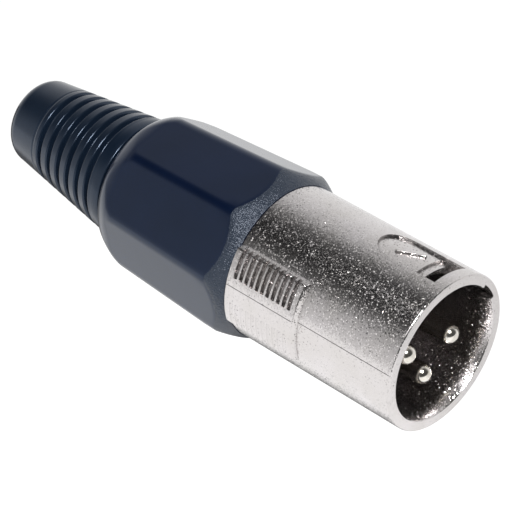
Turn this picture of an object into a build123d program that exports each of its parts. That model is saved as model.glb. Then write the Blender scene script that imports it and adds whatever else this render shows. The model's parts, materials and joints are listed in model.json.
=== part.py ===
"""Three-pin male cable connector with a screw-on octagonal nut and a ribbed strain relief.

The axis of the plug is X: the open rim of the metal shell lies in the plane x = 0, its nose
points to +X, and everything else is behind it, at negative x.  +Z is the normal of the
nut's top flat, so the plug lies on the opposite flat.  All sizes are millimetres.
Angles round the axis are measured from +Z towards +Y.
"""
import os
from math import cos, radians, sin, sqrt, tan

from build123d import *

os.makedirs("parts", exist_ok=True)

# Metal shell
shell_radius = 9.5
shell_wall = 1.4
shell_length = 24.2
rim_chamfer = 0.12
tail_draft = 0.3
mouth_depth = 15.5
lip_length = 0.9
lip_height = 0.7

# Thread between the shell's tail and the nut, drawn as plain cylinders at crest size
shoulder_height = 0.4
thread_length = 7.0
thread_pitch = 1.0
thread_clearance = 0.1
relief_length = 1.0
relief_depth = 0.35

# Latch recess, its window and its tally bar, in line with the key
octagon_sides = 8
flat_angle = 360 / octagon_sides
key_angle = flat_angle / 2
recess_width = 5.5
recess_rear = 11.0
recess_depth = 0.6
ledge_depth = 1.05
ledge_rear = 4.3
window_rear = 3.3
window_front = 1.5
bar_length = 3.2
bar_width = 0.42
bar_height = 0.2
bar_rear = 8.0
bar_offset = 0.3
bar_slant = 32.0

# Polarising groove in the mouth
groove_turn = 45.0
groove_width = 3.3
groove_depth = 0.55
groove_length = 13.0

# Grip pads, a quarter turn either side of the key
pad_half_angle = 31.0
pad_height = 0.3
pad_length = 11.0
pad_slope = 0.5
rib_gap_count = 11
rib_pitch = 0.8
rib_gap = 0.5
rib_depth = 0.38
rib_rear_margin = 1.2
ribs_inner_angle = 8.0
ribs_outer_angle = 30.0

# Contacts and their carrier
insert_length = 7.0
fit_clearance = 0.05
contact_circle_radius = 3.81
contact_radius = 1.2
contact_seat_radius = 1.4
contact_setback = 2.0
collar_radius = 1.7
collar_setback = 3.4
collar_rear_gap = 0.5
cup_radius = 1.5
cup_length = 6.0
cup_bore_radius = 1.05
cup_bore_depth = 4.5
cup_opening_length = 3.6
key_rib_width = 2.0
key_rib_height = 0.35
spring_width = 2.4
spring_thickness = 0.3
spring_groove_depth = 2.1
spring_foot = 0.85
spring_ramp = 1.45
spring_crest = 0.85
spring_bend_shift = 0.14
spring_tail = 3.2
spring_front_wall = 1.2

# Cable clamp, a slotted tube whose fingers close on the cable
clamp_wall = 1.45
clamp_shoulder_gap = 0.3
clamp_shoulder_length = 1.1
clamp_shoulder_clearance = 0.3
clamp_grip_radius = 4.6
clamp_tooth_height = 0.35
clamp_tooth_pitch = 1.6
clamp_tooth_count = 3
clamp_slot_count = 4
clamp_slot_width = 1.4
clamp_slot_front = 2.2
clamp_slot_floor = 0.5
clamp_nose_length = 2.55
clamp_cone_gap = 0.2

# Octagonal nut
nut_gap = 0.05
nut_wall = 1.15
nut_face_margin = 0.4
nut_front_slope = 34.0
nut_taper = 2.7
nut_corner_radius = 1.3
nut_length = 21.75
nut_nose_length = 2.6
nut_end_wall = 0.35
nut_end_corner_radius = 6.0
nut_end_steps = 2
nut_cavity_step = 0.45
nut_thread_runout = 1.0
nut_lip_length = 1.6
nut_lip_height = 0.75

# Strain relief sleeve
sleeve_exit_gap = 0.3
sleeve_flange_length = 1.5
sleeve_flange_clearance = 0.12
sleeve_seat_gap = 0.05
sleeve_collar_length = 3.75
sleeve_collar_draft = 0.2
sleeve_gap_count = 6
sleeve_rib_pitch = 1.78
sleeve_gap_width = 0.9
sleeve_gap_depth = 0.6
sleeve_length = 20.0
sleeve_end_rounding = 2.0
sleeve_end_wall = 2.25
sleeve_cone_wall = 1.23
sleeve_cone_half_angle = 17.0
sleeve_throat_radius = 4.9
sleeve_bore_radius = 3.6
sleeve_bore_length = 8.0

# Places along the axis, worked out from the sizes above
insert_front_x = -mouth_depth
seat_x = -(mouth_depth + lip_length)
insert_rear_x = seat_x - insert_length
shoulder_x = -shell_length
pad_front_x = shoulder_x + pad_length
thread_start_x = shoulder_x - relief_length
spigot_end_x = thread_start_x - thread_length
nut_front_x = shoulder_x - nut_gap
nut_end_x = nut_front_x - nut_length
nut_flats_end_x = nut_end_x + nut_nose_length
nut_lip_x = nut_end_x + nut_lip_length
flange_rear_x = nut_lip_x + sleeve_seat_gap
flange_front_x = flange_rear_x + sleeve_flange_length
clamp_shoulder_x = spigot_end_x - clamp_shoulder_gap
clamp_fingers_x = clamp_shoulder_x - clamp_shoulder_length
clamp_end_x = flange_front_x - clamp_nose_length
sleeve_collar_end_x = nut_end_x - sleeve_collar_length
sleeve_end_x = nut_end_x - sleeve_length

# Radii that follow from the sizes above
mouth_radius = shell_radius - shell_wall
shell_tail_radius = shell_radius + pad_length * tan(radians(tail_draft))
thread_radius = shell_radius - shoulder_height
seat_radius = mouth_radius
lip_radius = mouth_radius - lip_height
insert_radius = seat_radius - fit_clearance
clamp_bore_radius = insert_radius - clamp_wall
nut_thread_radius = thread_radius + thread_clearance
nut_cavity_radius = nut_thread_radius - nut_cavity_step
nut_exit_radius = nut_cavity_radius - nut_lip_height
nut_face_radius = shell_radius + nut_face_margin
flange_radius = nut_cavity_radius - sleeve_flange_clearance
sleeve_collar_radius = nut_exit_radius - sleeve_exit_gap
sleeve_shoulder_radius = sleeve_collar_radius - sleeve_collar_draft
sleeve_cone_radius = flange_radius - sleeve_cone_wall
pad_radius = shell_radius + pad_height

# Cutters run past what they cut
reach = 2 * shell_radius
cut_margin = 1.0


def radial_plane(angle, distance=0.0):
    """Plane whose normal points outward at the angle, with its x along the plug's axis."""
    outward = (0, sin(radians(angle)), cos(radians(angle)))
    origin = (0, distance * outward[1], distance * outward[2])
    return Plane(origin=origin, x_dir=(1, 0, 0), z_dir=outward)


def axial_plane(angle):
    """Plane through the plug's axis, whose y points outward at the angle."""
    side = (0, -cos(radians(angle)), sin(radians(angle)))
    return Plane(origin=(0, 0, 0), x_dir=(1, 0, 0), z_dir=side)


def half_section(*outline):
    """Face in the XZ plane, given as (x, radius) corners, to be revolved about the axis."""
    with BuildSketch(Plane.XZ) as section:
        with BuildLine():
            Polyline(*outline, close=True)
        make_face()
    return section.sketch


def round_bar(front_x, rear_x, radius):
    """Half section of a solid round bar between two places on the axis."""
    return half_section((front_x, 0), (front_x, radius), (rear_x, radius), (rear_x, 0))


def outward_block(angle, front_x, rear_x, width, floor_radius):
    """Block that stands outward from a round floor, across one side of the wall."""
    with BuildPart() as block:
        with BuildSketch(radial_plane(angle)):
            with Locations(((front_x + rear_x) / 2, 0)):
                Rectangle(abs(front_x - rear_x), width)
        extrude(amount=reach)
        core = round_bar(front_x + cut_margin, rear_x - cut_margin, floor_radius)
        revolve(core, axis=Axis.X, mode=Mode.SUBTRACT)
    return block.part


def rounded_octagon(x, apothem, corner_radius):
    """Cross-section of the nut, with a flat on top."""
    with BuildSketch(Plane.YZ.offset(x)) as section:
        RegularPolygon(apothem, octagon_sides, major_radius=False, rotation=flat_angle / 2)
        fillet(section.vertices(), corner_radius)
    return section.sketch


# Latch recess: a shallow U-shaped pocket with a round rear end and a round floor
recess_floor_radius = shell_radius - recess_depth
recess_round_x = recess_width / 2 - recess_rear

with BuildPart() as latch_recess:
    with BuildSketch(radial_plane(key_angle)):
        with Locations((recess_round_x, 0)):
            Circle(recess_width / 2)
        with Locations(((recess_round_x - window_front) / 2, 0)):
            Rectangle(-window_front - recess_round_x, recess_width)
    extrude(amount=reach)
    revolve(round_bar(0, shoulder_x, recess_floor_radius), axis=Axis.X, mode=Mode.SUBTRACT)

# Tally bar: a plain raised bar that lies aslant on the recess floor
with BuildPart() as tally_bar:
    with BuildSketch(radial_plane(key_angle)):
        with Locations(Location((bar_length / 2 - bar_rear, -bar_offset), bar_slant)):
            SlotOverall(bar_length, bar_width)
    extrude(amount=recess_floor_radius + bar_height)
    revolve(
        round_bar(0, shoulder_x, recess_floor_radius - bar_height), axis=Axis.X, mode=Mode.SUBTRACT
    )

# Polarising groove: a shallow channel inside the mouth, beside the key
with BuildPart() as mouth_groove:
    with BuildSketch(radial_plane(key_angle + groove_turn)):
        with Locations((-groove_length / 2, 0)):
            Rectangle(groove_length, groove_width)
    extrude(amount=reach)
    revolve(
        round_bar(0, -groove_length, mouth_radius + groove_depth), axis=Axis.X, mode=Mode.INTERSECT
    )


def grip_pad(angle):
    """Raised pad that follows the shell, with a sloping front edge."""
    base = shell_radius - pad_height
    with BuildPart() as pad:
        revolve(
            half_section(
                (pad_front_x, base),
                (pad_front_x, shell_radius),
                (pad_front_x - pad_slope, pad_radius),
                (shoulder_x, pad_radius),
                (shoulder_x, base),
            ),
            axis=Axis.X,
        )
        with BuildSketch(radial_plane(angle)):
            with Locations(((shoulder_x + pad_front_x) / 2, 0)):
                Rectangle(pad_length, 2 * pad_radius * sin(radians(pad_half_angle)))
        extrude(amount=reach, mode=Mode.INTERSECT)
    return pad.part


def grip_gaps(angle):
    """Gaps that leave the ribs standing, in two panels either side of the parting line."""
    inner_side = pad_radius * sin(radians(ribs_inner_angle))
    outer_side = pad_radius * sin(radians(ribs_outer_angle))
    with BuildPart() as gaps:
        for i in range(rib_gap_count):
            middle = shoulder_x + rib_rear_margin + i * rib_pitch
            revolve(
                half_section(
                    (middle + rib_gap / 2, pad_radius),
                    (middle, pad_radius - rib_depth),
                    (middle - rib_gap / 2, pad_radius),
                    (middle, pad_radius + rib_depth),
                ),
                axis=Axis.X,
            )
        with BuildSketch(radial_plane(angle)):
            for side in (-1, 1):
                with Locations(((shoulder_x + pad_front_x) / 2, side * (inner_side + outer_side) / 2)):
                    Rectangle(pad_length, outer_side - inner_side)
        extrude(amount=reach, mode=Mode.INTERSECT)
    return gaps.part


pad_angles = (key_angle - 90, key_angle + 90)
# The spring lies between contacts 1 and 3
spring_angle = key_angle + 135

with BuildPart() as shell:
    with BuildSketch(axial_plane(key_angle)):
        with BuildLine():
            Polyline(
                (0, mouth_radius + rim_chamfer),
                (0, shell_radius - rim_chamfer),
                (-rim_chamfer, shell_radius),
                (pad_front_x, shell_radius),
                (shoulder_x, shell_tail_radius),
                (shoulder_x, thread_radius - relief_depth),
                (thread_start_x, thread_radius - relief_depth),
                (thread_start_x, thread_radius),
                (spigot_end_x + relief_depth, thread_radius),
                (spigot_end_x, thread_radius - relief_depth),
                (spigot_end_x, seat_radius),
                (seat_x, seat_radius),
                (seat_x, lip_radius),
                (insert_front_x, lip_radius),
                (insert_front_x, mouth_radius),
                (-rim_chamfer, mouth_radius),
                close=True,
            )
        make_face()
    revolve(axis=Axis.X)
    for angle in pad_angles:
        add(grip_pad(angle))
        add(grip_gaps(angle), mode=Mode.SUBTRACT)
    add(latch_recess.part, mode=Mode.SUBTRACT)
    add(tally_bar.part)
    add(
        outward_block(
            key_angle, -window_front, -ledge_rear, recess_width, shell_radius - ledge_depth
        ),
        mode=Mode.SUBTRACT,
    )
    add(
        outward_block(key_angle, -window_front, -window_rear, recess_width, lip_radius),
        mode=Mode.SUBTRACT,
    )
    add(mouth_groove.part, mode=Mode.SUBTRACT)
    # Keyway for the carrier's rib, open at the tail
    with BuildSketch(radial_plane(key_angle)):
        with Locations(((seat_x + spigot_end_x) / 2, 0)):
            Rectangle(seat_x - spigot_end_x, key_rib_width + 2 * fit_clearance)
    extrude(amount=seat_radius + key_rib_height, mode=Mode.SUBTRACT)

shell.part.label = "shell"


def contact_angle(number):
    """Contacts 1 and 2 stand a quarter turn from the key, and contact 3 is opposite it."""
    return key_angle + {1: 90, 2: -90, 3: 180}[number]


def contact_place(number):
    """Sideways place of a contact's axis, as (y, z)."""
    angle = radians(contact_angle(number))
    return contact_circle_radius * sin(angle), contact_circle_radius * cos(angle)


contacts = (1, 2, 3)
collar_front_x = insert_front_x - collar_setback
collar_rear_x = insert_rear_x + collar_rear_gap
spring_floor_radius = seat_radius - spring_groove_depth

# Contact carrier: a moulded disc that stops against the shell's lip
with BuildPart() as insert:
    revolve(
        half_section(
            (insert_front_x, 0),
            (insert_front_x, lip_radius - fit_clearance),
            (seat_x, lip_radius - fit_clearance),
            (seat_x, insert_radius),
            (insert_rear_x, insert_radius),
            (insert_rear_x, 0),
        ),
        axis=Axis.X,
    )
    with BuildSketch(radial_plane(key_angle)):
        with Locations(((seat_x + insert_rear_x) / 2, 0)):
            Rectangle(insert_length, key_rib_width)
    extrude(amount=seat_radius + key_rib_height - fit_clearance)
    # Groove for the earthing spring, open at the rear
    add(
        outward_block(
            spring_angle,
            seat_x - spring_front_wall,
            insert_rear_x,
            spring_width + 2 * fit_clearance,
            spring_floor_radius,
        ),
        mode=Mode.SUBTRACT,
    )
    for number in contacts:
        with BuildSketch(Plane.YZ.offset(insert_front_x)):
            with Locations(contact_place(number)):
                Circle(contact_seat_radius + fit_clearance)
        extrude(amount=-insert_length - lip_length, mode=Mode.SUBTRACT)
        with BuildSketch(Plane.YZ.offset(collar_front_x)):
            with Locations(contact_place(number)):
                Circle(collar_radius + fit_clearance)
        extrude(amount=insert_rear_x - collar_front_x, mode=Mode.SUBTRACT)

insert.part.label = "contact_carrier"


def contact_pin(number):
    """Turned contact: domed nose, collar in the carrier and a solder cup behind."""
    y, z = contact_place(number)
    tip_x = -contact_setback
    cup_end_x = insert_rear_x - cup_length
    axis = Axis((0, y, z), (1, 0, 0))
    with BuildPart() as pin:
        with BuildSketch(Plane(origin=(0, y, z), x_dir=(1, 0, 0), z_dir=(0, -1, 0))):
            with BuildLine():
                CenterArc((tip_x - contact_radius, 0), contact_radius, 0, 90)
                Polyline(
                    (tip_x - contact_radius, contact_radius),
                    (insert_front_x, contact_radius),
                    (insert_front_x, contact_seat_radius),
                    (collar_front_x, contact_seat_radius),
                    (collar_front_x, collar_radius),
                    (collar_rear_x, collar_radius),
                    (collar_rear_x, cup_radius),
                    (cup_end_x, cup_radius),
                    (cup_end_x, cup_bore_radius),
                    (cup_end_x + cup_bore_depth, cup_bore_radius),
                    (cup_end_x + cup_bore_depth + cup_bore_radius / 2, 0),
                    (tip_x, 0),
                )
            make_face()
        revolve(axis=axis)
        # The cup is open on the side away from the plug's axis
        outward = radial_plane(contact_angle(number), contact_circle_radius)
        with BuildSketch(outward):
            with Locations((cup_end_x + cup_opening_length / 2, 0)):
                Rectangle(cup_opening_length, 2 * collar_radius)
        extrude(amount=2 * cup_radius, mode=Mode.SUBTRACT)
    pin.part.label = f"contact_pin_{number}"
    return pin.part


# Earthing spring: a bent strip that lies in the carrier's groove and bears on the shell
spring_crest_radius = sqrt(seat_radius**2 - (spring_width / 2) ** 2) - fit_clearance
spring_front_x = seat_x - spring_front_wall - fit_clearance
spring_back_x = insert_rear_x - spring_tail
spring_low = spring_floor_radius + fit_clearance
spring_high = spring_crest_radius - spring_thickness
spring_rise_x = spring_front_x - spring_foot
spring_crest_front_x = spring_rise_x - spring_ramp
spring_crest_rear_x = spring_crest_front_x - spring_crest
spring_fall_x = spring_crest_rear_x - spring_ramp

with BuildPart() as earth_spring:
    with BuildSketch(axial_plane(spring_angle)):
        with BuildLine():
            Polyline(
                (spring_front_x, spring_low),
                (spring_rise_x, spring_low),
                (spring_crest_front_x, spring_high),
                (spring_crest_rear_x, spring_high),
                (spring_fall_x, spring_low),
                (spring_back_x, spring_low),
                (spring_back_x, spring_low + spring_thickness),
                (spring_fall_x - spring_bend_shift, spring_low + spring_thickness),
                (spring_crest_rear_x - spring_bend_shift, spring_crest_radius),
                (spring_crest_front_x + spring_bend_shift, spring_crest_radius),
                (spring_rise_x + spring_bend_shift, spring_low + spring_thickness),
                (spring_front_x, spring_low + spring_thickness),
                close=True,
            )
        make_face()
    extrude(amount=spring_width / 2, both=True)

earth_spring.part.label = "earth_spring"

# Cable clamp
clamp_finger_radius = nut_cavity_radius - clamp_shoulder_clearance
clamp_cone_start_x = flange_front_x
clamp_cone_radius = sleeve_cone_radius - clamp_cone_gap
clamp_cone_drop = tan(radians(sleeve_cone_half_angle)) * (clamp_cone_start_x - clamp_end_x)
clamp_slot_start_x = clamp_fingers_x - clamp_slot_front

with BuildPart() as cable_clamp:
    revolve(
        half_section(
            (insert_rear_x, clamp_bore_radius),
            (insert_rear_x, insert_radius),
            (clamp_shoulder_x, insert_radius),
            (clamp_shoulder_x, clamp_finger_radius),
            (clamp_fingers_x, clamp_finger_radius),
            (clamp_cone_start_x, clamp_cone_radius),
            (clamp_end_x, clamp_cone_radius - clamp_cone_drop),
            (clamp_end_x, clamp_grip_radius),
            (clamp_slot_start_x, clamp_grip_radius),
            (clamp_fingers_x, clamp_bore_radius),
        ),
        axis=Axis.X,
    )
    # Teeth that bite the cable's jacket
    for i in range(clamp_tooth_count):
        tooth_x = clamp_end_x + clamp_tooth_pitch * (i + 0.5)
        revolve(
            half_section(
                (tooth_x - clamp_tooth_height, clamp_grip_radius + fit_clearance),
                (tooth_x, clamp_grip_radius - clamp_tooth_height),
                (tooth_x + clamp_tooth_height, clamp_grip_radius + fit_clearance),
            ),
            axis=Axis.X,
        )
    # Slots between the fingers
    for i in range(clamp_slot_count):
        add(
            outward_block(
                i * 360 / clamp_slot_count,
                clamp_slot_start_x,
                clamp_end_x - cut_margin,
                clamp_slot_width,
                clamp_slot_floor,
            ),
            mode=Mode.SUBTRACT,
        )

cable_clamp.part.label = "cable_clamp"

# Octagonal nut: tapered flats, a turned cone in front and a rounded rear end
nut_front_apothem = nut_thread_radius + nut_wall
nut_rear_apothem = nut_front_apothem - (nut_front_x - nut_flats_end_x) * tan(radians(nut_taper))
nut_reach = nut_front_apothem / cos(radians(flat_angle / 2)) + cut_margin
nut_cone_length = (nut_reach - nut_face_radius) / tan(radians(nut_front_slope))


def nut_end_section(step):
    """One cross-section of the nut's rounded rear end, which runs from octagon to circle."""
    turn = radians(90 * step / nut_end_steps)
    drop = (nut_rear_apothem - nut_exit_radius - nut_end_wall) * (1 - cos(turn))
    corner = nut_corner_radius + (nut_end_corner_radius - nut_corner_radius) * (1 - cos(turn))
    return rounded_octagon(nut_flats_end_x - nut_nose_length * sin(turn), nut_rear_apothem - drop, corner)


with BuildPart() as boot_nut:
    loft([rounded_octagon(nut_front_x, nut_front_apothem, nut_corner_radius), nut_end_section(0)])
    loft([nut_end_section(step) for step in range(nut_end_steps + 1)], ruled=True)
    # Turned cone on the front corners
    revolve(
        half_section(
            (nut_front_x, 0),
            (nut_front_x, nut_face_radius),
            (nut_front_x - nut_cone_length, nut_reach),
            (nut_end_x, nut_reach),
            (nut_end_x, 0),
        ),
        axis=Axis.X,
        mode=Mode.INTERSECT,
    )
    revolve(
        half_section(
            (nut_front_x, 0),
            (nut_front_x, nut_thread_radius),
            (spigot_end_x - nut_thread_runout, nut_thread_radius),
            (spigot_end_x - nut_thread_runout - thread_pitch / 2, nut_cavity_radius),
            (nut_lip_x, nut_cavity_radius),
            (nut_lip_x, nut_exit_radius),
            (nut_end_x, nut_exit_radius),
            (nut_end_x, 0),
        ),
        axis=Axis.X,
        mode=Mode.SUBTRACT,
    )

boot_nut.part.label = "boot_nut"

# Strain relief sleeve
sleeve_tail_x = sleeve_end_x + sleeve_end_rounding
sleeve_tail_radius = sleeve_bore_radius + sleeve_end_wall
sleeve_slope = (sleeve_shoulder_radius - sleeve_tail_radius) / (sleeve_collar_end_x - sleeve_tail_x)
sleeve_throat_x = flange_front_x - (sleeve_cone_radius - sleeve_throat_radius) / tan(
    radians(sleeve_cone_half_angle)
)


def sleeve_radius(x):
    """Outside radius of the sleeve's tail, over the crests of its ribs."""
    return sleeve_shoulder_radius + (x - sleeve_collar_end_x) * sleeve_slope


def gap_outline(index):
    """Corners of one straight-sided gap between two ribs, front to rear."""
    front = sleeve_collar_end_x - index * sleeve_rib_pitch
    floor, rear = front - sleeve_gap_width / 2, front - sleeve_gap_width
    return [
        (front, sleeve_radius(front)),
        (floor, sleeve_radius(floor) - sleeve_gap_depth),
        (rear, sleeve_radius(rear)),
    ]


sleeve_gaps = [corner for index in range(sleeve_gap_count) for corner in gap_outline(index)]

with BuildPart() as strain_relief:
    with BuildSketch(Plane.XZ):
        with BuildLine():
            Polyline(
                (sleeve_end_x, sleeve_tail_radius - sleeve_end_rounding),
                (sleeve_end_x, sleeve_bore_radius),
                (sleeve_end_x + sleeve_bore_length, sleeve_bore_radius),
                (sleeve_throat_x, sleeve_throat_radius),
                (flange_front_x, sleeve_cone_radius),
                (flange_front_x, flange_radius),
                (flange_rear_x, flange_radius),
                (flange_rear_x, sleeve_collar_radius),
                *sleeve_gaps,
                (sleeve_tail_x, sleeve_tail_radius),
            )
            RadiusArc(
                (sleeve_tail_x, sleeve_tail_radius),
                (sleeve_end_x, sleeve_tail_radius - sleeve_end_rounding),
                -sleeve_end_rounding,
            )
        make_face()
    revolve(axis=Axis.X)

strain_relief.part.label = "strain_relief"

export_step(shell.part, "parts/shell.step")
export_step(insert.part, "parts/contact_carrier.step")
for number in contacts:
    pin_part = contact_pin(number)
    export_step(pin_part, f"parts/{pin_part.label}.step")
export_step(earth_spring.part, "parts/earth_spring.step")
export_step(cable_clamp.part, "parts/cable_clamp.step")
export_step(boot_nut.part, "parts/boot_nut.step")
export_step(strain_relief.part, "parts/strain_relief.step")
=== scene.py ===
# %% [markdown]
# # Dressing a cable plug
# The object is a round three-pin plug on the end of an audio cable. A cast metal shell in front
# holds the contacts, an octagonal plastic nut screws onto the shell's tail, and a ribbed rubber
# sleeve comes out of the nut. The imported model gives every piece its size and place. This file
# gives them the softened edges, ribs, grain and gloss that the eye expects.

# %% Load the frame
import json
from math import atan2, cos, hypot, pi, radians, sin, sqrt, tan

import bpy
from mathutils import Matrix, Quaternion, Vector


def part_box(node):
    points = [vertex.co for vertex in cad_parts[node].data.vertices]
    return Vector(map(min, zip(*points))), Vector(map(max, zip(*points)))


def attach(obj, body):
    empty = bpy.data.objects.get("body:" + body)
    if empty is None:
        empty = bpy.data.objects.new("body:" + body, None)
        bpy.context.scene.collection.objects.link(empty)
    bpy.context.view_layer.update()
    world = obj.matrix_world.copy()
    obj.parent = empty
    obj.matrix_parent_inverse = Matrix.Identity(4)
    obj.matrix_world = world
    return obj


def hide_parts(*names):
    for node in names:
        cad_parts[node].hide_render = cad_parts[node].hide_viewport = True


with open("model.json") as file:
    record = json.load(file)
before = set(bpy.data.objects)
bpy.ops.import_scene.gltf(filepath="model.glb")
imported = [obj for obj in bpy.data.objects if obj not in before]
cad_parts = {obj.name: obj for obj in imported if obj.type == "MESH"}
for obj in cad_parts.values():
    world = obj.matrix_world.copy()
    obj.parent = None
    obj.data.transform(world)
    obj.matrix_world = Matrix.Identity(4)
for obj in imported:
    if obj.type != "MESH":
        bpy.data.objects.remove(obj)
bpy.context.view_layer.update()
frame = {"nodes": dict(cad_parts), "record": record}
print("nodes:", ", ".join(sorted(frame["nodes"])))

# %% [markdown]
# Everything is modelled in millimetres, one unit to a millimetre, because bevels and merges are
# easier to judge at that size, and is brought down to metres when it is finished. The driving
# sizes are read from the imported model, so the dressing fits it. The photograph has the nut's front
# face and the contacts' tips a little further forward than packed, which two shifts take up.

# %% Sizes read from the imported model
MM = 0.001
mounts = {mount["name"]: mount for mount in frame["record"]["mounts"]}


def lowest(node):
    """Lowest corner of a node, in millimetres."""
    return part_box(node)[0] / MM


def highest(node):
    """Highest corner of a node, in millimetres."""
    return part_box(node)[1] / MM


shell_radius = mounts["shell_outside"]["dims"]["r_mm"]
contact_radius = mounts["contact_1"]["dims"]["r_mm"]
cable_radius = mounts["cable_entry"]["dims"]["r_mm"]
face_shift, tip_shift = 0.5, 0.6
shell_end_x = lowest("shell").x
nut_front_x, nut_end_x = highest("boot_nut").x + face_shift, lowest("boot_nut").x
nut_apothem = highest("boot_nut").z
sleeve_front_x, sleeve_end_x = highest("strain_relief").x, lowest("strain_relief").x
flange_radius = highest("strain_relief").z
carrier_front_x, carrier_rear_x = highest("contact_carrier").x, lowest("contact_carrier").x
contact_tip_x, contact_end_x = highest("contact_pin_1").x + tip_shift, lowest("contact_pin_1").x
print("shell", shell_radius, "nut", round(nut_apothem, 2), "length", round(-sleeve_end_x, 1))

# Angles are measured round the axis from the top towards +Y, and the key is on a corner
flat_angle = 45.0
key_angle = flat_angle / 2
pad_angles = (key_angle - 90, key_angle + 90)
shell_wall = 1.4
mouth_radius = shell_radius - shell_wall
shoulder_x = nut_front_x + 0.05

# %% [markdown]
# ## Helpers for modelling
# A turned part is drawn as half a section and spun round the axis, as on a lathe. It could also be
# a cylinder with its rings moved, but a drawn section says each radius once. Small cut-outs in the
# shell are drawn flat and then wrapped round it, because a pocket in a round casting has a round
# floor.

# %% Helpers for modelling
TURNED_STEPS = 192
MERGE = 0.0005


def pick(*pieces):
    """Selects these pieces and nothing else."""
    bpy.ops.object.select_all(action="DESELECT")
    for piece in pieces:
        piece.select_set(True)
    bpy.context.view_layer.objects.active = pieces[0]


def turned(name, outline, steps=TURNED_STEPS):
    """A body turned about the plug's axis, from its half section's (x, radius) corners."""
    bpy.ops.object.select_all(action="DESELECT")
    bpy.ops.mesh.primitive_plane_add(size=1)
    piece = bpy.context.object
    piece.name = name
    bpy.ops.object.mode_set(mode="EDIT")
    bpy.ops.mesh.select_mode(type="VERT")
    bpy.ops.mesh.select_all(action="SELECT")
    bpy.ops.mesh.merge(type="CENTER")
    bpy.ops.transform.translate(value=(outline[0][0], 0, outline[0][1]))
    for (x, radius), (next_x, next_radius) in zip(outline, outline[1:]):
        step = (next_x - x, 0, next_radius - radius)
        bpy.ops.mesh.extrude_region_move(TRANSFORM_OT_translate={"value": step})
    bpy.ops.mesh.select_all(action="SELECT")
    bpy.ops.mesh.spin(steps=steps, angle=2 * pi, center=(0, 0, 0), axis=(1, 0, 0))
    close_up(piece)
    return piece


def close_up(piece, distance=MERGE):
    """Merges what meets in the open mesh and turns its faces outward, so its volume is positive."""
    bpy.ops.mesh.select_all(action="SELECT")
    bpy.ops.mesh.remove_doubles(threshold=distance)
    bpy.ops.mesh.normals_make_consistent(inside=False)
    bpy.ops.object.mode_set(mode="OBJECT")
    if sum(face.area * face.center.dot(face.normal) for face in piece.data.polygons) < 0:
        bpy.ops.object.mode_set(mode="EDIT")
        bpy.ops.mesh.flip_normals()
        bpy.ops.object.mode_set(mode="OBJECT")


def round_edges(piece, width, segments=3, sharper_than=25):
    """Bevels every edge that turns by more than the angle."""
    pick(piece)
    bpy.ops.object.mode_set(mode="EDIT")
    bpy.ops.mesh.select_mode(type="EDGE")
    bpy.ops.mesh.select_all(action="DESELECT")
    bpy.ops.mesh.edges_select_sharp(sharpness=radians(sharper_than))
    bpy.ops.mesh.bevel(offset=width, segments=segments, affect="EDGES")
    bpy.ops.object.mode_set(mode="OBJECT")


def slice_across(piece, step):
    """Cuts a flat-drawn piece into equal strips along the axis, so that it can be wrapped."""
    low = min(vertex.co.y for vertex in piece.data.vertices)
    high = max(vertex.co.y for vertex in piece.data.vertices)
    count = max(round((high - low) / step), 1)
    pick(piece)
    bpy.ops.object.mode_set(mode="EDIT")
    for i in range(1, count):
        bpy.ops.mesh.select_all(action="SELECT")
        bpy.ops.mesh.bisect(plane_co=(0, low + (high - low) * i / count, 0), plane_no=(0, 1, 0))
    bpy.ops.mesh.select_all(action="SELECT")
    bpy.ops.mesh.quads_convert_to_tris()
    bpy.ops.object.mode_set(mode="OBJECT")


def wrap(piece, angle, step=0.35):
    """Wraps a flat-drawn piece round the shell: y is the way round, z the height above it."""
    slice_across(piece, step)
    for vertex in piece.data.vertices:
        x, y, z = vertex.co
        turn = radians(angle) + y / shell_radius
        vertex.co = (x, (shell_radius + z) * sin(turn), (shell_radius + z) * cos(turn))
    return piece


def block(name, rear_x, front_x, side, floor, top):
    """A flat-drawn block between two places along the axis and two heights."""
    bpy.ops.object.select_all(action="DESELECT")
    centre = ((rear_x + front_x) / 2, 0, (floor + top) / 2)
    size = (front_x - rear_x, 2 * side, top - floor)
    bpy.ops.mesh.primitive_cube_add(size=1, location=centre, scale=size)
    bpy.ops.object.transform_apply(location=True, rotation=True, scale=True)
    bpy.context.object.name = name
    return bpy.context.object


def combine(piece, tool, operation):
    """Adds the tool to the piece or cuts it out, and removes the tool."""
    pick(piece)
    modifier = piece.modifiers.new("join", "BOOLEAN")
    modifier.operation = operation
    modifier.solver = "EXACT"
    modifier.object = tool
    bpy.ops.object.modifier_apply(modifier=modifier.name)
    bpy.data.objects.remove(tool, do_unlink=True)


def joined(pieces):
    """Makes one object of several."""
    pick(*pieces)
    bpy.ops.object.join()
    return bpy.context.object


def settle(piece, body, *nodes, smooth=30):
    """Brings a finished piece down to metres, smooths it and sets it in its body.

    Weighted normals keep large flats even where small bevels meet them.
    """
    pick(piece)
    piece.scale = (MM, MM, MM)
    bpy.ops.object.transform_apply(location=True, rotation=True, scale=True)
    bpy.ops.object.shade_smooth_by_angle(angle=radians(smooth))
    weigh = piece.modifiers.new("weigh", "WEIGHTED_NORMAL")
    weigh.keep_sharp = True
    bpy.ops.object.modifier_apply(modifier=weigh.name)
    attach(piece, body)
    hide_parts(*nodes)
    print(piece.name, "has", len(piece.data.polygons), "faces")


# %% [markdown]
# ## Finishes
# Each finish starts from what the real one is made of. The shell is die-cast zinc, blasted and
# nickel plated, which leaves a grain that sparkles where the shell mirrors something dark. The
# nut and the sleeve are moulded in a bluish black, the nut polished and the sleeve a soft gloss.

# %% Helpers for finishes


def linear(code):
    """Linear colour of an sRGB hex code."""
    values = [int(code[i : i + 2], 16) / 255 for i in (1, 3, 5)]
    return [v / 12.92 if v <= 0.04045 else ((v + 0.055) / 1.055) ** 2.4 for v in values] + [1]


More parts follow.
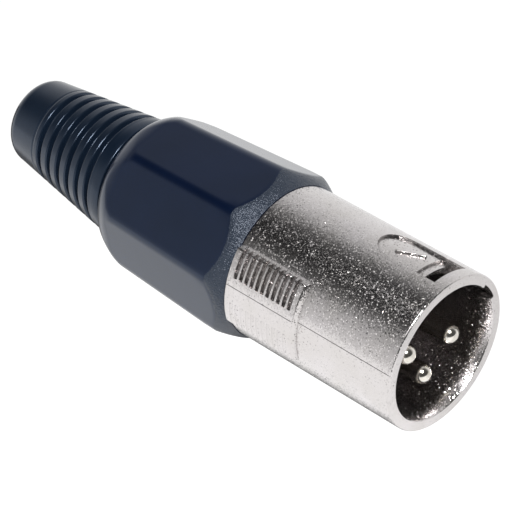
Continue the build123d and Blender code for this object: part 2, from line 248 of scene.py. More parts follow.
def add_node(tree, kind, values=None, links=None, **settings):
    """Adds one node, with its settings, its sockets' values and what is linked into them."""
    made = tree.nodes.new(kind)
    for name, value in settings.items():
        setattr(made, name, value)
    for socket, value in (values or {}).items():
        made.inputs[socket].default_value = value
    for socket, source in (links or {}).items():
        tree.links.new(source, made.inputs[socket])
    return made


def finish_named(name, colour, **values):
    """A new material, with its shader's own values set."""
    material = bpy.data.materials.new(name)
    material.use_nodes = True
    shader = material.node_tree.nodes["Principled BSDF"]
    shader.inputs["Base Color"].default_value = linear(colour)
    for socket, value in values.items():
        shader.inputs[socket.replace("_", " ")].default_value = value
    return material, material.node_tree, shader


def noise(tree, size_mm, detail=2.0, stretch=(1, 1, 1)):
    """Noise whose lumps are about the given size across."""
    place = add_node(tree, "ShaderNodeTexCoord")
    scaled = add_node(
        tree, "ShaderNodeMapping", {"Scale": stretch}, {"Vector": place.outputs["Object"]}
    )
    values = {"Scale": 1 / (size_mm * MM), "Detail": detail}
    return add_node(tree, "ShaderNodeTexNoise", values, {"Vector": scaled.outputs[0]})


def bumped(tree, height, depth_mm, strength, under=None):
    """Bump from a height, optionally on top of another bump."""
    links = {"Height": height}
    if under:
        links["Normal"] = under.outputs[0]
    values = {"Strength": strength, "Distance": depth_mm * MM}
    return add_node(tree, "ShaderNodeBump", values, links)


def shaded(tree, factor, dark, light, low=0.3, high=0.7):
    """Colour that runs from dark to light with a factor."""
    ramp = add_node(tree, "ShaderNodeValToRGB", links={"Fac": factor})
    ramp.color_ramp.elements[0].position = low
    ramp.color_ramp.elements[0].color = linear(dark)
    ramp.color_ramp.elements[1].position = high
    ramp.color_ramp.elements[1].color = linear(light)
    return ramp


# %% [markdown]
# ### Blasted nickel
# The shell is cast in zinc, blasted and plated. Blasting leaves facets about 0.1 mm across, and the
# plate makes each of them a small mirror. Noise in a bump would blur them into a soft grain, so a
# cell pattern gives every facet one tilt of its own: small for most, and large for a few that flash
# where the rest mirror something dark. Ambient occlusion darkens the colour in corners and recesses:
# this is painted shade, standing in for the light that doesn't reach them.

# %% Blasted nickel plate
facet_mm = 0.11
tilt_rarity, tilt_range, tilt_least = 4.0, 0.85, 0.06
recess_mm, painted_shade_power = 0.4, 0.8


def blasted_nickel():
    """Plated metal whose facets each mirror their own way."""
    material, tree, shader = finish_named("blasted_nickel_plate", "#D8D4D3", Metallic=1.0)
    place = add_node(tree, "ShaderNodeTexCoord")
    facets = add_node(
        tree,
        "ShaderNodeTexVoronoi",
        {"Scale": 1 / (facet_mm * MM), "Randomness": 1.0},
        {"Vector": place.outputs["Object"]},
    )
    centred = add_node(
        tree,
        "ShaderNodeVectorMath",
        {1: (0.5, 0.5, 0.5)},
        {0: facets.outputs["Color"]},
        operation="SUBTRACT",
    )
    facing = add_node(tree, "ShaderNodeNewGeometry")
    chance = add_node(
        tree, "ShaderNodeTexWhiteNoise", links={"Vector": facets.outputs["Position"]}
    )
    rare = add_node(
        tree,
        "ShaderNodeMath",
        {1: tilt_rarity},
        {0: chance.outputs["Value"]},
        operation="POWER",
    )
    amount = add_node(
        tree,
        "ShaderNodeMath",
        {1: tilt_range, 2: tilt_least},
        {0: rare.outputs[0]},
        operation="MULTIPLY_ADD",
    )
    tilt = add_node(
        tree,
        "ShaderNodeVectorMath",
        links={0: centred.outputs["Vector"], "Scale": amount.outputs[0]},
        operation="SCALE",
    )
    tilted = add_node(
        tree,
        "ShaderNodeVectorMath",
        links={0: facing.outputs["Normal"], 1: tilt.outputs["Vector"]},
        operation="ADD",
    )
    unit = add_node(
        tree, "ShaderNodeVectorMath", links={0: tilted.outputs["Vector"]}, operation="NORMALIZE"
    )
    tree.links.new(unit.outputs["Vector"], shader.inputs["Normal"])
    patches = noise(tree, 3.5)
    tone = shaded(tree, patches.outputs["Fac"], "#C9C5C3", "#CFCBCB")
    # Painted shade: ambient occlusion darkens the base colour in corners and recesses.
    recess = add_node(
        tree,
        "ShaderNodeAmbientOcclusion",
        {"Distance": recess_mm * MM},
        samples=8,
        only_local=True,
    )
    painted_shade_factor = add_node(
        tree, "ShaderNodeMath", {1: painted_shade_power}, {0: recess.outputs["AO"]}, operation="POWER"
    )
    toned = add_node(
        tree,
        "ShaderNodeVectorMath",
        links={0: tone.outputs[0], "Scale": painted_shade_factor.outputs[0]},
        operation="SCALE",
    )
    tree.links.new(toned.outputs[0], shader.inputs["Base Color"])
    shader.inputs["Roughness"].default_value = 0.17
    return material


nickel = blasted_nickel()
print("nickel facets are", facet_mm, "mm across")

# %% [markdown]
# ### Bright contact plate
# The contacts are turned brass with a bright plate. Turning leaves fine rings, and they could be
# modelled, but they are a hundredth of a millimetre deep. So noise is stretched round the contact
# and used as a bump, with a little uneven wear in the colour.

# %% Bright contact plate
tool_mark_mm, tool_mark_depth_mm = 0.2, 0.01


def bright_plate():
    """Plated turned brass."""
    material, tree, shader = finish_named("bright_contact_plate", "#D9D5CD", Metallic=1.0)
    rings = noise(tree, tool_mark_mm, detail=1.0, stretch=(1, 0.05, 0.05))
    marks = bumped(tree, rings.outputs["Fac"], tool_mark_depth_mm, 0.3)
    tree.links.new(marks.outputs[0], shader.inputs["Normal"])
    wear = noise(tree, 0.8)
    tone = shaded(tree, wear.outputs["Fac"], "#CFCAC0", "#DEDAD3")
    tree.links.new(tone.outputs[0], shader.inputs["Base Color"])
    shader.inputs["Roughness"].default_value = 0.16
    return material


contact_plate = bright_plate()

# %% [markdown]
# ### Moulded plastics and rubber
# A polished mould gives smooth plastic with a slight waviness, and a matt one gives grain. Both
# come from one function, because they differ only in the size and depth of their lumps and in
# their gloss. The plug's black is a very dark blue with a cool sheen, so the shine is tinted too.

# %% Moulded plastics and rubber


def moulded(name, dark, light, roughness, grain_mm, depth_mm, strength=0.5, sheen="#CFE2FF"):
    """Moulded plastic or rubber, cloudy between two tones."""
    material, tree, shader = finish_named(name, dark, IOR=1.53)
    shader.inputs["Specular Tint"].default_value = linear(sheen)
    lumps = noise(tree, grain_mm)
    skin = bumped(tree, lumps.outputs["Fac"], depth_mm, strength)
    tree.links.new(skin.outputs[0], shader.inputs["Normal"])
    cloud = noise(tree, 6.0)
    tone = shaded(tree, cloud.outputs["Fac"], dark, light)
    tree.links.new(tone.outputs[0], shader.inputs["Base Color"])
    shader.inputs["Roughness"].default_value = roughness
    return material


nut_polish = moulded("polished_nut_plastic", "#060F22", "#081227", 0.16, 2.5, 0.02, 0.3)
nut_grain = moulded(
    "grained_nut_plastic", "#1B232F", "#232B37", 0.27, 0.2, 0.14, 1.0, sheen="#E8F0FF"
)
sleeve_gloss = moulded("soft_gloss_rubber", "#0C1521", "#101A27", 0.2, 1.6, 0.02, 0.15)
carrier_plastic = moulded("moulded_carrier_plastic", "#645B5C", "#6E6566", 0.55, 0.3, 0.03)
clamp_plastic = moulded("moulded_clamp_plastic", "#1C1C20", "#242429", 0.5, 0.4, 0.03)
spring_strip = moulded("tinned_spring_strip", "#B7B2A6", "#C4C0B6", 0.35, 0.5, 0.01)
spring_strip.node_tree.nodes["Principled BSDF"].inputs["Metallic"].default_value = 1.0
print("finishes:", len(bpy.data.materials))

# %% [markdown]
# ## The shell
# The shell is one casting: a round nose with a latch pocket and window, two raised grip pads with
# finger ribs, and a threaded tail inside the nut. It could be built from separate rings and plates,
# but a casting has one skin. So it is turned first, then the pads are added and every pocket,
# window, gap and line is cut out of it with tools wrapped round the same axis.

# %% Turn the shell
shell_steps = 256
rim_round, inner_edge = 0.24, 0.05
lip_front_x, lip_rear_x = carrier_front_x, carrier_front_x - 0.9
lip_radius = mouth_radius - 0.7
thread_radius = shell_radius - 0.4
thread_root_radius = thread_radius - 0.5
pad_length = 10.5
pad_front_x = shoulder_x + pad_length
draw_in = 0.3
mouth_flare = (
    (-3.0, -draw_in),
    (-1.8, -0.28),
    (-1.1, -0.2),
    (-0.6, -0.08),
    (-0.25, 0.05),
    (0, 0.15),
)

rim = [
    (rim_round * (sin(t) - 1), shell_radius + rim_round * (cos(t) - 1))
    for t in (pi / 2 * (1 - i / 6) for i in range(7))
]
mouth = [(x, mouth_radius + flare) for x, flare in mouth_flare]
shell = turned(
    "shell_casting",
    [
        mouth[-1],
        *rim,
        (pad_front_x, shell_radius),
        (shoulder_x, shell_radius),
        (shoulder_x, thread_root_radius),
        (shell_end_x, thread_root_radius),
        (shell_end_x, mouth_radius),
        (lip_rear_x, mouth_radius),
        (lip_rear_x, lip_radius),
        (lip_front_x, lip_radius),
        (lip_front_x, mouth_radius - draw_in),
        *mouth,
    ],
    steps=shell_steps,
)
round_edges(shell, inner_edge)
print("turned shell:", len(shell.data.polygons), "faces")

# %% [markdown]
# ### The grip pads
# Two raised pads are what the fingers pull on. Each is 0.6 mm proud and 64 degrees wide, and its
# sides and front slope down to the shell. A pad could be extruded from the shell's own faces, but
# it would have to end where they end. So it starts as a flat-drawn block, gets its slopes while
# they are easy to draw, and is wrapped round the shell and made one with it.

# %% Raise the grip pads
pad_height, pad_root, pad_half_angle = 0.6, -0.1, 32
pad_side_slope, pad_front_slope, pad_edge = 0.75, 0.45, 0.12
pad_side = shell_radius * radians(pad_half_angle)
for angle in pad_angles:
    pad = block("pad", shoulder_x + 0.03, pad_front_x, pad_side, pad_root, pad_height)
    for vertex in pad.data.vertices:
        if vertex.co.z > 0:
            vertex.co.y -= pad_side_slope * (1 if vertex.co.y > 0 else -1)
            vertex.co.x -= pad_front_slope if vertex.co.x > shoulder_x + 1 else 0
    round_edges(pad, pad_edge)
    combine(shell, wrap(pad, angle), "UNION")
print("shell with pads:", len(shell.data.polygons), "faces")

# %% [markdown]
# ### The finger ribs
# The ribs are what is left between eleven round-bottomed gaps, in two panels on each pad. An array
# modifier could repeat one gap, but all must follow the pad's curve and those of one panel lie less
# deep, because the mould draws off sideways there. So a loop places them flat, and the whole set is
# wrapped and cut at once.

# %% Cut the finger ribs
gap_count, gap_pitch, gap_width = 11, 0.8, 0.6
gap_outer_end, gap_inner_end = 2.0, 0.7
gap_depths = {1: 0.6, -1: 0.08}
last_gap_x = shoulder_x + 1.15
gap_inner_side, gap_outer_side = (shell_radius * radians(a) for a in (8.5, pad_half_angle))


def rib_gap(x, side, depth):
    """A gap's cutter, drawn flat: a ball pulled out sideways into a bar with a long outer end."""
    bpy.ops.object.select_all(action="DESELECT")
    bpy.ops.mesh.primitive_uv_sphere_add(segments=12, ring_count=8, radius=gap_width / 2)
    cutter = bpy.context.object
    half_length = (gap_outer_side - gap_inner_side) / 2
    for vertex in cutter.data.vertices:
        outward = vertex.co.y * side
        if outward > MERGE:
            outward = half_length + gap_outer_end * (outward - gap_width / 2)
        elif outward < -MERGE:
            outward = -half_length + gap_inner_end * (outward + gap_width / 2)
        vertex.co.y = outward * side
    cutter.scale = (1, 1, 2 * depth / gap_width)
    cutter.location = (x, side * (gap_inner_side + half_length), pad_height)
    bpy.ops.object.transform_apply(location=True, rotation=True, scale=True)
    return cutter


for angle, near_key in zip(pad_angles, (1, -1)):
    cutters = [
        rib_gap(last_gap_x + i * gap_pitch, side, gap_depths[side * near_key])
        for side in (-1, 1)
        for i in range(gap_count)
    ]
    combine(shell, wrap(joined(cutters), angle), "DIFFERENCE")
print("gaps cut:", 4 * gap_count)

# %% [markdown]
# ### The latch pocket
# A socket's latch slides along this pocket and drops into the window at its front. The pocket is a
# slot with one round end, a deeper ledge and then the window. Three cuts could leave slivers where
# they meet, so one stepped cutter does it all: a cylinder drawn out into a slot, whose underside is
# pressed in further in front of two places.

# %% Cut the latch pocket
pocket_width, pocket_depth, pocket_rear_x = 5.5, 0.32, -11.0
ledge_rear_x, ledge_depth = -4.3, 0.62
window_rear_x, window_front_x, window_undercut = -3.3, -1.5, 1.4
pocket_round_x = pocket_rear_x + pocket_width / 2
cutter_height = through_depth = 2


def deepen(piece, front_of_x, depth):
    """Presses the cutter's underside in further, in front of a place along the axis."""
    pick(piece)
    bpy.ops.object.mode_set(mode="EDIT")
    bpy.ops.mesh.select_all(action="SELECT")
    bpy.ops.mesh.bisect(plane_co=(front_of_x, 0, 0), plane_no=(1, 0, 0))
    bpy.ops.object.mode_set(mode="OBJECT")
    lowest_z = min(vertex.co.z for vertex in piece.data.vertices)
    for polygon in piece.data.polygons:
        polygon.select = (
            polygon.normal.z < -0.9
            and polygon.center.x > front_of_x
            and polygon.center.z < lowest_z + MERGE
        )
    bpy.ops.object.mode_set(mode="EDIT")
    bpy.ops.mesh.select_mode(type="FACE")
    bpy.ops.mesh.extrude_region_move(TRANSFORM_OT_translate={"value": (0, 0, -depth)})
    bpy.ops.mesh.select_mode(type="VERT")
    bpy.ops.object.mode_set(mode="OBJECT")


bpy.ops.object.select_all(action="DESELECT")
bpy.ops.mesh.primitive_cylinder_add(
    vertices=64,
    radius=pocket_width / 2,
    depth=cutter_height,
    location=(pocket_round_x, 0, cutter_height / 2 - pocket_depth),
)
bpy.ops.object.transform_apply(location=True, rotation=True, scale=True)
pocket = bpy.context.object
for vertex in pocket.data.vertices:
    if vertex.co.x > pocket_round_x + MERGE:
        vertex.co.x = window_front_x
pick(pocket)
bpy.ops.object.mode_set(mode="EDIT")
bpy.ops.mesh.select_mode(type="VERT")
bpy.ops.mesh.select_all(action="SELECT")
bpy.ops.mesh.dissolve_limited(angle_limit=radians(0.5))
bpy.ops.object.mode_set(mode="OBJECT")
deepen(pocket, ledge_rear_x, ledge_depth - pocket_depth)
deepen(pocket, window_rear_x, through_depth)
lowest_z = min(vertex.co.z for vertex in pocket.data.vertices)
for vertex in pocket.data.vertices:
    if vertex.co.z < lowest_z + MERGE and vertex.co.x < window_rear_x + MERGE:
        vertex.co.x -= window_undercut
combine(shell, wrap(pocket, key_angle, 0.25), "DIFFERENCE")
print("pocket cut, shell has", len(shell.data.polygons), "faces")

# %% [markdown]
# ### The groove and the parting lines
# A groove inside the mouth guides the socket in the right way round. The two halves of the mould
# leave a hairline along each flank, over the shell and over the pad. A dark line in the material
# would slide over edges, so both are cut as thin blocks and catch the light as real ones do.

# %% Cut the mouth's groove and the casting's parting lines
groove_angle = key_angle + 45
groove_side, groove_rear_x, groove_depth = 3.3 / 2, -13.0, 0.55
below_wall, past_rim = 0.4, 1.0
groove_top = groove_depth - shell_wall
groove = block("groove", groove_rear_x, past_rim, groove_side, -shell_wall - below_wall, groove_top)
combine(shell, wrap(groove, groove_angle), "DIFFERENCE")

line_width, line_depth, line_offset = 0.08, 0.06, 2.5
for angle in pad_angles:
    for rear_x, front_x, low, high in (
        (pad_front_x - 0.1, -0.25, -line_depth, 0.5),
        (shoulder_x + 0.15, pad_front_x - 0.6, pad_height - line_depth, 0.8),
    ):
        line = block("line", rear_x, front_x, line_width / 2, low, high)
        combine(shell, wrap(line, angle + line_offset), "DIFFERENCE")
print("groove and lines cut, shell has", len(shell.data.polygons), "faces")

# %% [markdown]
# ### The bar in the pocket
# A small raised bar lies aslant on the pocket's floor, cast with it. It is a cylinder whose halves
# are drawn apart, softened, and wrapped onto the floor.

# %% Add the bar
bar_length, bar_width, bar_height, bar_thickness = 3.5, 0.5, 0.28, 0.4
bar_slant, bar_place = radians(-33), (-6.9, -0.1)
bpy.ops.object.select_all(action="DESELECT")
bpy.ops.mesh.primitive_cylinder_add(vertices=24, radius=bar_width / 2, depth=bar_thickness)
bar = bpy.context.object
for vertex in bar.data.vertices:
    if abs(vertex.co.x) > MERGE:
        vertex.co.x += (bar_length - bar_width) / 2 * (1 if vertex.co.x > 0 else -1)
bpy.ops.object.mode_set(mode="EDIT")
bpy.ops.mesh.select_all(action="SELECT")
bpy.ops.transform.rotate(value=bar_slant, orient_axis="Z", center_override=(0, 0, 0))
bpy.ops.object.mode_set(mode="OBJECT")
bar.location = (*bar_place, bar_height - pocket_depth - bar_thickness / 2)
bpy.ops.object.transform_apply(location=True, rotation=True, scale=True)
round_edges(bar, 0.1)
combine(shell, wrap(bar, key_angle), "UNION")

# %% [markdown]
# ### The thread
# The nut runs on a thread of 1 mm pitch, which shows once the nut is screwed back. Rings would look
# much the same but wouldn't lead the nut anywhere. So a triangle is drawn out along a helix with
# the Screw modifier, and joined to the tail.

# %% Add the thread
thread_pitch, thread_turns = 1.0, 6
thread_half_width, thread_sink = 0.42, 0.05
thread_start_x = shell_end_x + 0.5
bpy.ops.object.select_all(action="DESELECT")
bpy.ops.mesh.primitive_circle_add(vertices=3, fill_type="NGON")
ridge = bpy.context.object
for vertex, x, radius in zip(
    ridge.data.vertices,
    (0, thread_half_width, -thread_half_width),
    (thread_radius, thread_root_radius - thread_sink, thread_root_radius - thread_sink),
):
    vertex.co = (x, 0, radius)
helix = ridge.modifiers.new("helix", "SCREW")
helix.axis = "X"
helix.steps = helix.render_steps = 96
helix.iterations = thread_turns
helix.screw_offset = thread_pitch
bpy.ops.object.modifier_apply(modifier=helix.name)
bpy.ops.object.mode_set(mode="EDIT")
bpy.ops.mesh.select_all(action="SELECT")
bpy.ops.mesh.fill_holes(sides=3)
bpy.ops.mesh.normals_make_consistent(inside=False)
bpy.ops.object.mode_set(mode="OBJECT")
ridge.location = (thread_start_x, 0, 0)
bpy.ops.object.transform_apply(location=True, rotation=True, scale=True)
low_x = min(vertex.co.x for vertex in ridge.data.vertices)
high_x = max(vertex.co.x for vertex in ridge.data.vertices)
print("thread runs from", round(low_x, 2), "to", round(high_x, 2), "shell ends at", shell_end_x)
shell = joined([shell, ridge])
shell.data.materials.append(nickel)
settle(shell, "plug_body", "shell")

# %% [markdown]
# ## The contacts
# Each contact is a turned pin with a domed nose, a collar that the carrier grips, and a cup behind
# it that the wire is soldered into. It is turned in one go from its half section, as the real one
# is, and the cup is then cut away on its outer side, where the solder goes in.

# %% Turn the contacts
collar_front_x, collar_rear_x = carrier_front_x - 3.4, carrier_rear_x + 0.5
collar_radius, seat_radius = 1.7, 1.4
cup_radius, cup_bore_radius, cup_bore_depth, drill_point = 1.5, 1.05, 4.5, 0.5
cup_opening = 3.6
near_axis = MERGE / 4


def dome(tip_x, radius, steps=10):
    """Points of a domed nose, from just off the axis to the pin's side."""
    turns = [pi / 2 * (i + 0.25) / (steps + 0.25) for i in range(steps + 1)]
    return [(tip_x - radius * (1 - cos(turn)), radius * sin(turn)) for turn in turns]


def contact(number):
    """One contact, turned on the plug's axis and then moved to its place."""
    x, y, z = (value / MM for value in mounts[f"contact_{number}"]["pos_m"])
    pin = turned(
        f"contact_{number}",
        [
            (contact_tip_x, near_axis),
            *dome(contact_tip_x, contact_radius),
            (carrier_front_x, contact_radius),
            (carrier_front_x, seat_radius),
            (collar_front_x, seat_radius),
            (collar_front_x, collar_radius),
            (collar_rear_x, collar_radius),
            (collar_rear_x, cup_radius),
            (contact_end_x, cup_radius),
            (contact_end_x, cup_bore_radius),
            (contact_end_x + cup_bore_depth, cup_bore_radius),
            (contact_end_x + cup_bore_depth + drill_point, near_axis),
        ],
        steps=64,
    )
    pick(pin)
    bpy.ops.object.mode_set(mode="EDIT")
    bpy.ops.mesh.select_all(action="SELECT")
    bpy.ops.transform.translate(value=(0, y, z))
    bpy.ops.object.mode_set(mode="OBJECT")
    angle = atan2(y, z)
    reach = hypot(y, z)
    opening = block("opening", contact_end_x - 1, contact_end_x + cup_opening, 2, 0, 3)
    for vertex in opening.data.vertices:
        side, out = vertex.co.y, reach + vertex.co.z
        vertex.co.y = side * cos(angle) + out * sin(angle)
        vertex.co.z = -side * sin(angle) + out * cos(angle)
    combine(pin, opening, "DIFFERENCE")
    pin.data.materials.append(contact_plate)
    settle(pin, "plug_body", f"contact_pin_{number}")
    return pin


contacts = [contact(number) for number in (1, 2, 3)]
print("contacts made:", len(contacts))

# %% [markdown]
# ## The octagonal nut
# The nut is moulded: eight tapered flats with soft corners, a turned cone on the front corners and
# a rear end that runs from the octagon into a circle. A bevelled eight-sided prism can't end in a
# circle, and a boolean cone leaves edges that are hard to soften. So the nut is turned as a plain
# tube with many fine rings, and each ring is then drawn in to the nut's own section at that place.

# %% Write down the nut's section
nut_steps = 384
nut_corner_radius = 1.7
nut_slope, cone_slope = tan(radians(2.7)), tan(radians(31))
nut_face_radius = shell_radius + 0.08
nut_flats_end_x = nut_end_x + 2.8
nut_end_radius, nut_exit_radius = 8.0, 7.85
round_start_x, round_end_x = nut_end_x + 3.8, nut_end_x + 0.4
nut_cavity_radius, nut_bore_radius = 8.75, thread_radius + 0.1
edge_softness = 0.55


def eased(share):
    """A share held between 0 and 1, with a slow start and a slow end."""
    share = min(max(share, 0), 1)
    return share**2 * (3 - 2 * share)


def octagon_radius(turn, apothem, corner):
    """Radius of a round-cornered octagon, at an angle from the middle of a flat."""
    half = radians(flat_angle / 2)
    turn = abs((turn + half) % (2 * half) - half)
    if turn <= atan2((apothem - corner) * tan(half), apothem):
        return apothem / cos(turn)
    centre = (apothem - corner) / cos(half)
    away = half - turn
    return centre * cos(away) + sqrt(corner**2 - (centre * sin(away)) ** 2)


def softer(a, b, width):
    """The lesser of two sizes, with the change from one to the other rounded."""
    blend = max(width - abs(a - b), 0) / width
    return min(a, b) - blend**2 * width / 4


def nut_radius(x, turn):
    """Outside radius of the nut at a place and an angle."""
    apothem = nut_apothem - (nut_front_x - x) * nut_slope
    if x < nut_flats_end_x:
        done = min((nut_flats_end_x - x) / (nut_flats_end_x - nut_end_x), 1)
        flat_end = nut_apothem - (nut_front_x - nut_flats_end_x) * nut_slope
        apothem = flat_end - (flat_end - nut_end_radius) * (1 - sqrt(1 - done**2))
    rounding = eased((round_start_x - x) / (round_start_x - round_end_x))
    corner = nut_corner_radius + (apothem - nut_corner_radius) * rounding
    cone = nut_face_radius + (nut_front_x - x) * cone_slope
    return softer(octagon_radius(turn, apothem, corner), cone, edge_softness)


def evenly(start, end, count):
    """Places from start to end, with start left out."""
    return [start + (end - start) * (i + 1) / count for i in range(count)]


# %% Shape the nut
ring_ends = (
    (nut_front_x - 2.5, 28),
    (round_start_x, 10),
    (nut_end_x + 0.3, 40),
    (nut_end_x, 8),
)
cavity_front_x, cavity_step = shell_end_x - 1.5, 0.5
end_wall = 1.6
seam_gap = 0.03
nut_places = [nut_front_x]
for ring_end_x, ring_count in ring_ends:
    nut_places += evenly(nut_places[-1], ring_end_x, ring_count)
nut = turned("octagonal_nut", [(x, nut_apothem) for x in nut_places], steps=nut_steps)
for vertex in nut.data.vertices:
    turn = atan2(vertex.co.y, vertex.co.z)
    radius = nut_radius(vertex.co.x, turn)
    vertex.co.y, vertex.co.z = radius * sin(turn), radius * cos(turn)
nut_inside = turned(
    "nut_inside",
    [
        (nut_front_x, nut_face_radius),
        (nut_front_x, nut_bore_radius),
        (cavity_front_x + cavity_step, nut_bore_radius),
        (cavity_front_x, nut_cavity_radius),
        (nut_end_x + end_wall, nut_cavity_radius),
        (nut_end_x + end_wall, nut_exit_radius),
        (nut_end_x, nut_exit_radius),
        (nut_end_x, nut_radius(nut_end_x, 0)),
    ],
    steps=nut_steps,
)
nut = joined([nut, nut_inside])
bpy.ops.object.mode_set(mode="EDIT")
bpy.ops.mesh.select_all(action="SELECT")
bpy.ops.mesh.remove_doubles(threshold=seam_gap)
bpy.ops.mesh.normals_make_consistent(inside=False)
bpy.ops.object.mode_set(mode="OBJECT")
print("nut rings:", len(nut_places))

# %% [markdown]
# ### The nut's front cone
# The cone was turned in the mould's steel and left matt, so it takes a rougher finish. A second
# object would need a seam, so its faces are picked by their place and by how far they look forward.

# %% Grain the nut's front cone
cone_length, cone_lean = 3.0, 0.14
nut.data.materials.append(nut_polish)
nut.data.materials.append(nut_grain)
for polygon in nut.data.polygons:
    x, y, z = polygon.center
    on_cone = hypot(y, z) > nut_face_radius - 0.1 and nut_front_x - x < cone_length
    if on_cone and polygon.normal.x > cone_lean:
        polygon.material_index = 1
settle(nut, "nut", "boot_nut")

# %% [markdown]
# ## The strain relief
# The sleeve is one rubber moulding. Its collar comes out of the nut, and behind it six round gaps
# leave ribs that let it bend. The tail is smooth and ends in a soft rounding round the cable hole.
# Loop cuts scaled one by one would do, but a formula for the radius keeps the six gaps alike. The
# soft tail leans a little to one side, so the finished mesh is sheared by a straight rule.

# %% Write down the sleeve's outline
collar_end_x = nut_end_x - 2.75
collar_radius_front, collar_radius_rear = 7.7, 7.5
lip_x, lip_depth = nut_end_x - 0.7, 0.5
sleeve_rounding = 2.0
sleeve_tail_x = sleeve_end_x + sleeve_rounding
sleeve_tail_radius = cable_radius + 1.9
gap_total, gap_spacing, gap_opening, gap_deep = 6, 1.95, 0.9, 0.75
gap_floor, gap_top = 0.08, 0.54
tail_line_x = collar_end_x - (gap_total - 1) * gap_spacing - 1.75
tail_line_half, tail_line_depth = 0.22, 0.06


def sleeve_radius(x):
    """Outside radius over the ribs' crests."""
    done = (collar_end_x - x) / (collar_end_x - sleeve_tail_x)
    return collar_radius_rear + (sleeve_tail_radius - collar_radius_rear) * max(done, 0)


def ribbed_radius(x):
    """Outside radius with the gaps taken out: steep-sided valleys between flat-backed ribs."""
    radius = sleeve_radius(x)
    for i in range(gap_total):
        away = abs(x - (collar_end_x - gap_opening / 2 - i * gap_spacing)) / (gap_spacing / 2)
        radius -= gap_deep * (1 - eased((away - gap_floor) / (gap_top - gap_floor)))
    away = abs(x - tail_line_x) / tail_line_half
    return radius - (tail_line_depth * (1 - away**2) ** 2 if away < 1 else 0)


# %% Turn the sleeve
rib_places = evenly(collar_end_x + 0.5, tail_line_x - 0.4, 190)
rounding = [
    (sleeve_tail_x - sleeve_rounding * sin(t), sleeve_tail_radius - sleeve_rounding * (1 - cos(t)))
    for t in (pi / 2 * i / 12 for i in range(13))
]
flange_rear_x = nut_end_x + 1.65
flange_inner_radius = flange_radius - 1.23
throat_x, throat_radius = sleeve_front_x - 8.15, 4.9
bore_length, bore_edge = 8, 0.15
sleeve = turned(
    "ribbed_sleeve",
    [
        (sleeve_front_x, flange_inner_radius),
        (sleeve_front_x, flange_radius),
        (flange_rear_x, flange_radius),
        (flange_rear_x, collar_radius_front - lip_depth),
        (lip_x, collar_radius_front - lip_depth),
        (lip_x - 0.03, collar_radius_front - 0.14),
        (lip_x - 0.08, collar_radius_front - 0.05),
        (lip_x - 0.18, collar_radius_front),
        (collar_end_x + 0.5, collar_radius_rear),
        *((x, ribbed_radius(x)) for x in rib_places),
        *rounding,
        (sleeve_end_x, cable_radius + bore_edge),
        (sleeve_end_x + bore_edge, cable_radius),
        (sleeve_end_x + bore_length, cable_radius),
        (throat_x, throat_radius),
        (sleeve_front_x, flange_inner_radius),
    ],
)
lean_start_x, lean_total, lean_angle = collar_end_x + 1, 0.38, radians(54)
for vertex in sleeve.data.vertices:
    lean = lean_total * max((lean_start_x - vertex.co.x) / (lean_start_x - sleeve_tail_x), 0)
    vertex.co.y += lean * sin(lean_angle)
    vertex.co.z += lean * cos(lean_angle)
sleeve.data.materials.append(sleeve_gloss)
settle(sleeve, "relief", "strain_relief", smooth=50)

# %% [markdown]
# ## What stays as packed
# The carrier, the spring and the cable clamp already have their true shape and are mostly out of
# sight, so they only take their finishes.

# %% Finish the inner pieces
for node, finish in (
    ("contact_carrier", carrier_plastic),
    ("earth_spring", spring_strip),
    ("cable_clamp", clamp_plastic),
):
    slots = frame["nodes"][node].material_slots
    for place in slots:
        place.material = finish
    print(node, "has", len(slots), "slot")

# %% [markdown]
# ## Studio
# The plug lies on a white table in a pale room. Metal and gloss show what they mirror, so the table
# and the room matter as much as the lamps.
#
# ### The table
# A sheet lit bright enough to look white would throw light up at the plug. So the table glows by
# itself: to the camera it is plain white with a soft shadow. What the plug mirrors has a painted
# shadow under the plug, and painted light that makes the near side a little brighter than the far.

# %% Floor
shade_half, light_half, shade_level = 6, 11.5, 0.15
mouth_rear_x, mouth_front_x = -3, 1
near_level, far_level, near_half = 1.3, 1.02, 6
shadow_share = 0.15
just_below = 0.00002

floor_z = lowest("boot_nut").z * MM - just_below
bpy.ops.object.select_all(action="DESELECT")
bpy.ops.mesh.primitive_plane_add(size=6, location=(-0.03, 0, floor_z))
floor = bpy.context.object
floor.name = "table"
bpy.ops.object.transform_apply(location=True, rotation=True, scale=True)
table_paint, tree, shader = finish_named("white_table", "#F2F2F2", Roughness=0.9)
path = add_node(tree, "ShaderNodeLightPath")
place = add_node(tree, "ShaderNodeTexCoord")
axes = add_node(tree, "ShaderNodeSeparateXYZ", links={0: place.outputs["Object"]})
# Painted shadow: glossy rays see the glow dimmed under the plug, but not ahead of its mouth.
sideways = add_node(tree, "ShaderNodeMath", links={0: axes.outputs["Y"]}, operation="ABSOLUTE")
beside = add_node(
    tree,
    "ShaderNodeMapRange",
    {"From Min": shade_half * MM, "From Max": light_half * MM, "To Min": shade_level},
    {"Value": sideways.outputs[0]},
    interpolation_type="SMOOTHSTEP",
)
ahead = add_node(
    tree,
    "ShaderNodeMapRange",
    {"From Min": mouth_rear_x * MM, "From Max": mouth_front_x * MM},
    {"Value": axes.outputs["X"]},
    interpolation_type="SMOOTHSTEP",
)
clear = add_node(
    tree,
    "ShaderNodeMath",
    links={0: beside.outputs[0], 1: ahead.outputs[0]},
    operation="MAXIMUM",
)
painted_shadow = add_node(
    tree,
    "ShaderNodeMath",
    links={0: clear.outputs[0], 1: path.outputs["Is Camera Ray"]},
    operation="MAXIMUM",
)
